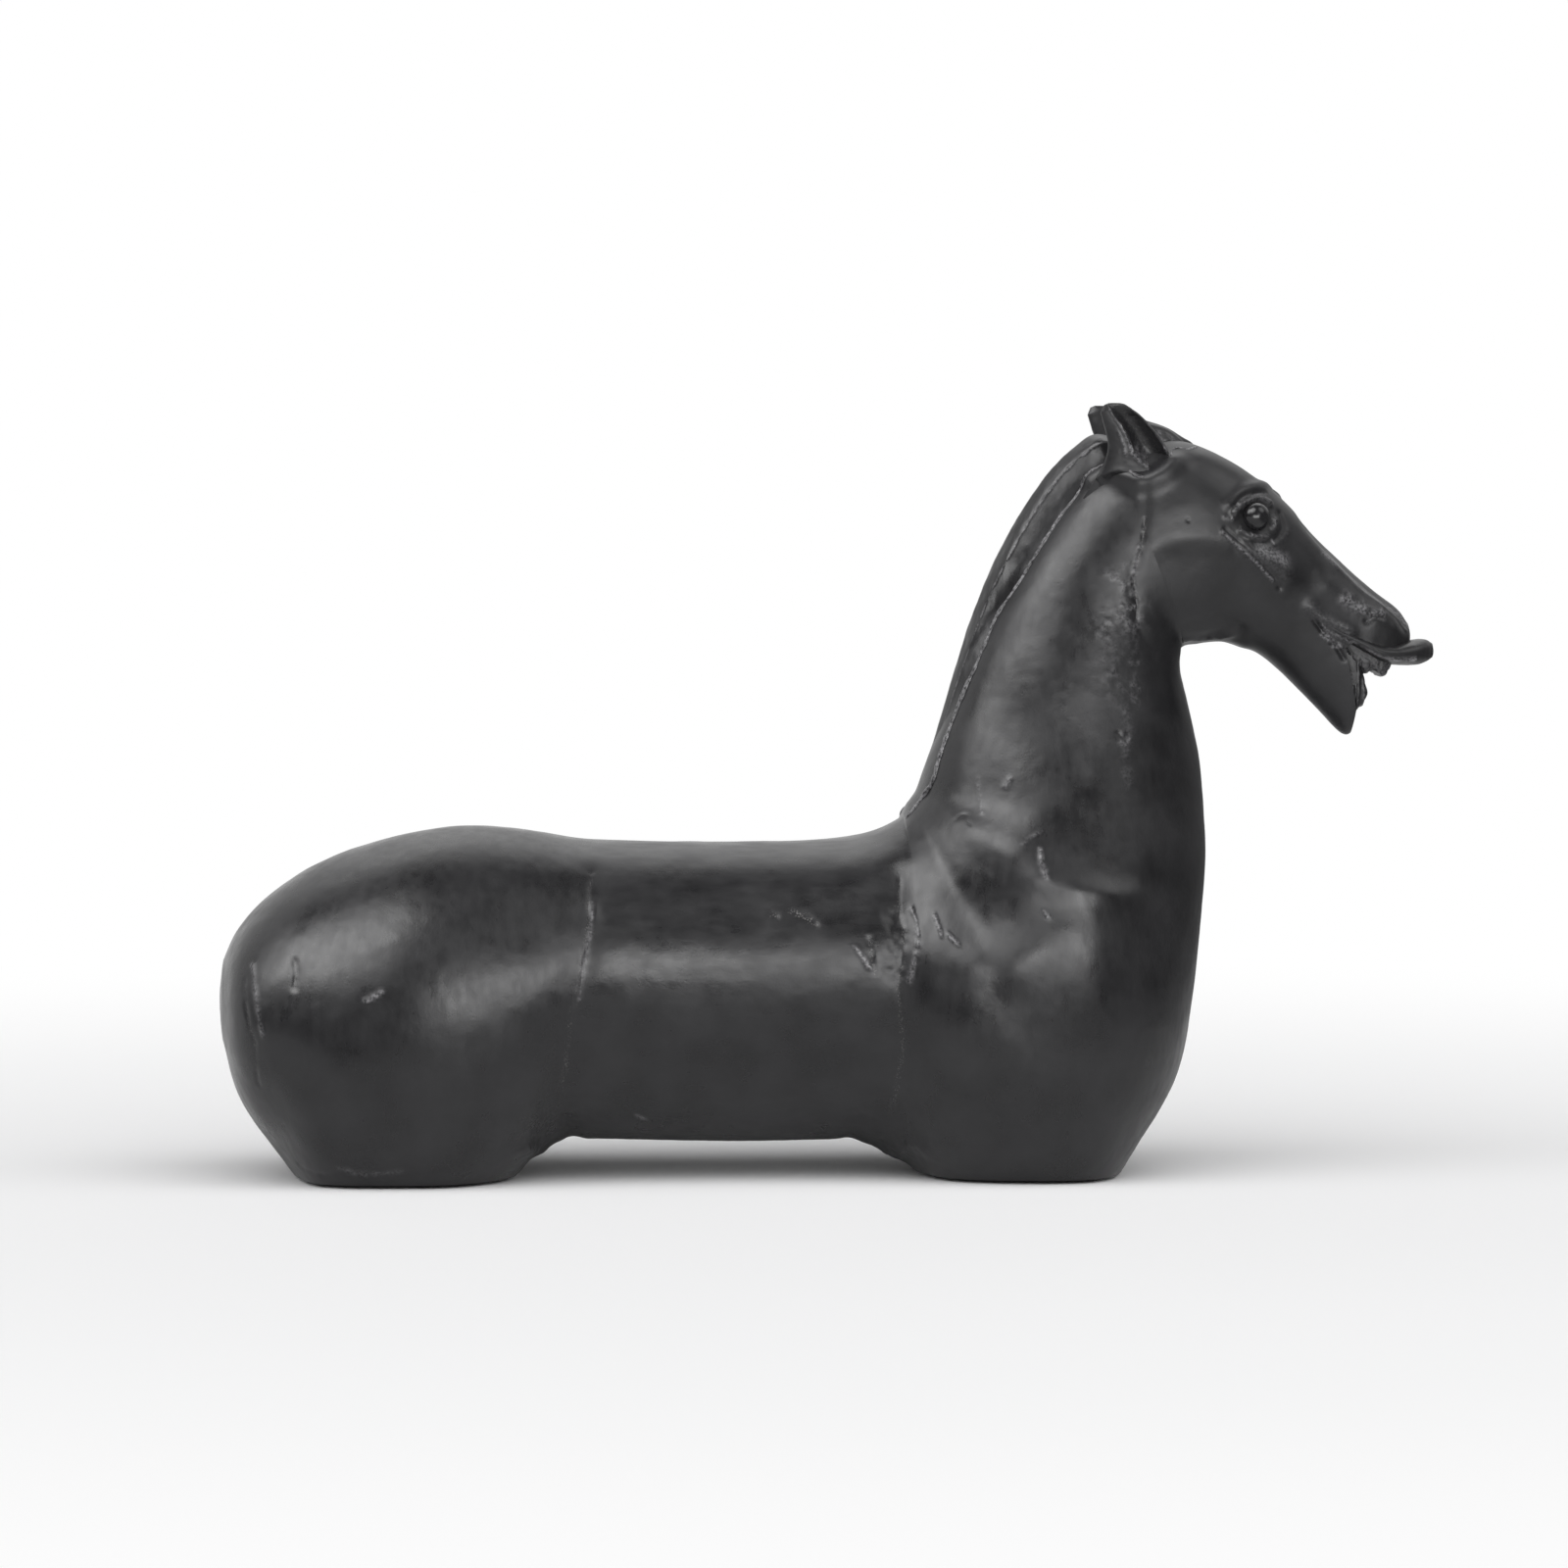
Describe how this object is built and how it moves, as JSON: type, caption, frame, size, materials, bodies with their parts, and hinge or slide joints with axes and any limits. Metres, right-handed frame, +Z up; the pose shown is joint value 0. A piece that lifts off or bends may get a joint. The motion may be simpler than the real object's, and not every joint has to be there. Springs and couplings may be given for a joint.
{
  "type": "horse figurine",
  "caption": "Legless standing horse figurine: thick body on flat-cut stubs, upright neck with clipped mane, slim head with open mouth, black patinated metal.",
  "frame": {"origin": "on the ground, in the plane of symmetry, midway between the rump end and the lip tip", "axes": "+X from the rump to the head, +Y to the horse's left, +Z up"},
  "size_m": [0.5096, 0.1458, 0.3225],
  "materials": {
    "patina": "satin near-black patina with casting pits and file marks",
    "eye": "the same patina, rubbed glossier",
    "felt": "black felt"
  },
  "bodies": {
    "root": {"hindquarters": "patina", "barrel": "patina", "forequarters": "patina", "neck": "patina", "mane": "patina", "skull": "patina", "lower_jaw": "patina", "upper_lip": "patina", "upper_teeth": "patina", "tongue": "patina", "forelock": "patina", "left_ear": "patina", "right_ear": "patina", "left_eye": "eye", "right_eye": "eye", "hind_pad": "felt", "fore_pad": "felt"}
  },
  "joints": []
}
